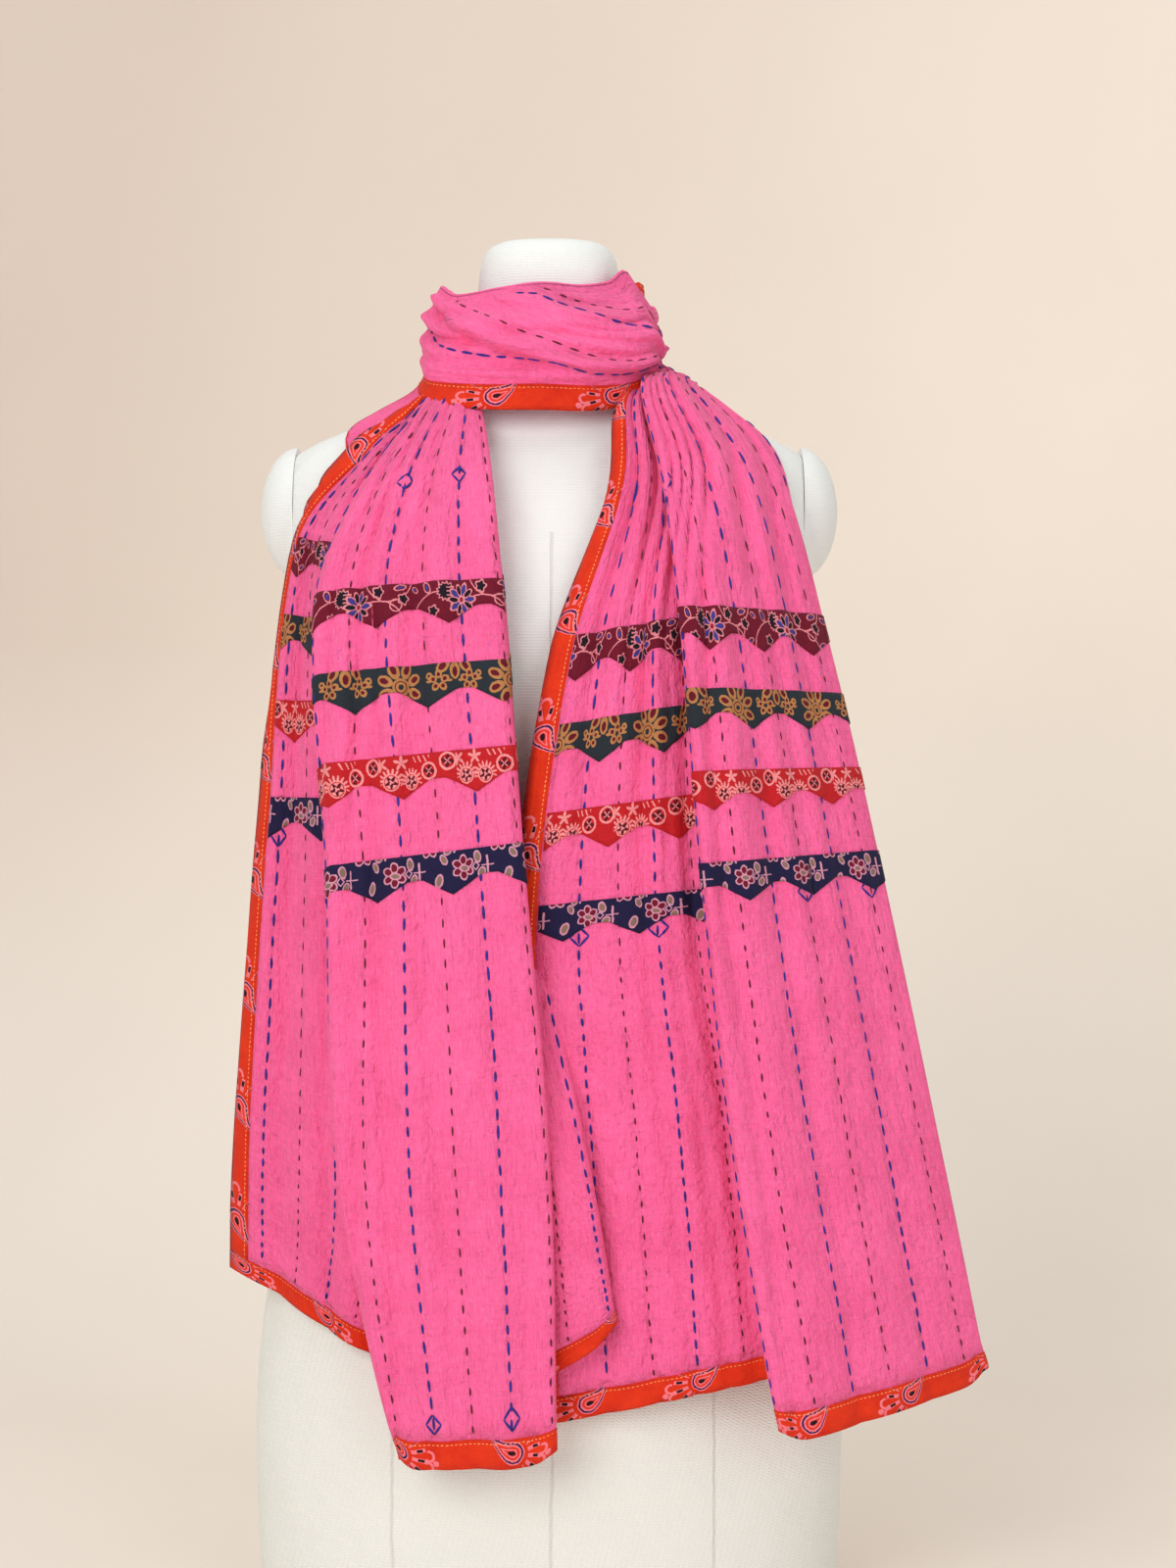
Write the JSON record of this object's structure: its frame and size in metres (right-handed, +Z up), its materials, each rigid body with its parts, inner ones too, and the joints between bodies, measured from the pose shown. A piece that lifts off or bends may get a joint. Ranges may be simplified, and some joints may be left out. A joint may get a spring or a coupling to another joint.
{
  "type": "kantha stole",
  "caption": "Quilted pink cotton stole with running stitch, patterned bindings and zigzag-edged strips, looped round the neck of a white dress form, its ends hanging at the front.",
  "frame": {"origin": "centre of the dress form's flat base, on the surface it stands on", "axes": "+Z up the form, -Y out of its front, where the ends hang, +X to the right as seen from the front"},
  "size_m": [0.4889, 0.2966, 0.901],
  "materials": {
    "pink_cotton": "matt crinkled cotton, quilted with blue and maroon running stitch",
    "orange_print": "matt printed cotton binding, vermilion with paisleys",
    "maroon_print": "matt printed cotton, maroon with pink-outlined flowers",
    "slate_print": "matt printed cotton, dark slate with ochre daisies",
    "red_print": "matt printed cotton, red with pink rosettes",
    "indigo_print": "matt printed cotton, indigo with pink-outlined flowers",
    "white_jersey": "matt white jersey over a padded form"
  },
  "bodies": {
    "root": {"form_torso": "white_jersey", "form_arm_cap_left": "white_jersey", "form_arm_cap_right": "white_jersey", "stole_cloth": "pink_cotton", "binding_neck": "orange_print", "binding_throat": "orange_print", "binding_nape": "orange_print", "binding_hem_left": "orange_print", "binding_outer_left": "orange_print", "binding_inner_left": "orange_print", "binding_hem_right": "orange_print", "binding_outer_right": "orange_print", "binding_inner_right": "orange_print", "strip_left_indigo": "indigo_print", "strip_left_red": "red_print", "strip_left_slate": "slate_print", "strip_left_maroon": "maroon_print", "strip_right_indigo": "indigo_print", "strip_right_red": "red_print", "strip_right_slate": "slate_print", "strip_right_maroon": "maroon_print"}
  },
  "joints": []
}
